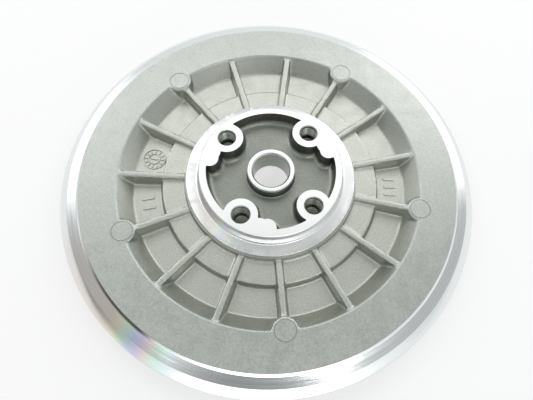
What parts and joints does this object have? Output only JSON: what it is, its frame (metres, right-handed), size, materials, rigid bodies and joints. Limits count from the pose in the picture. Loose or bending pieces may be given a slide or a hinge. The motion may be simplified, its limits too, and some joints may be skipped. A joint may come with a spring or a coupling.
{
  "type": "small engine flywheel",
  "caption": "Ribbed light-alloy flywheel disc with a bevelled rim ring, a machined hub face, tapped bolt bosses and a bushed centre bore.",
  "frame": {"origin": "on the wheel's axis, in the plane of the flat rear face", "axes": "+Z along the wheel's axis, out of the hub side; +X to the right of the seen face"},
  "size_m": [0.212, 0.212, 0.023],
  "materials": {
    "cast_alloy": "satin",
    "machined_rim": "satin",
    "bush_steel": "satin",
    "insert_steel": "satin"
  },
  "bodies": {
    "root": {"disc_casting": "cast_alloy", "rim_ring": "machined_rim", "centre_bush": "bush_steel", "thread_insert_1": "insert_steel", "thread_insert_2": "insert_steel", "thread_insert_3": "insert_steel", "thread_insert_4": "insert_steel"}
  },
  "joints": []
}
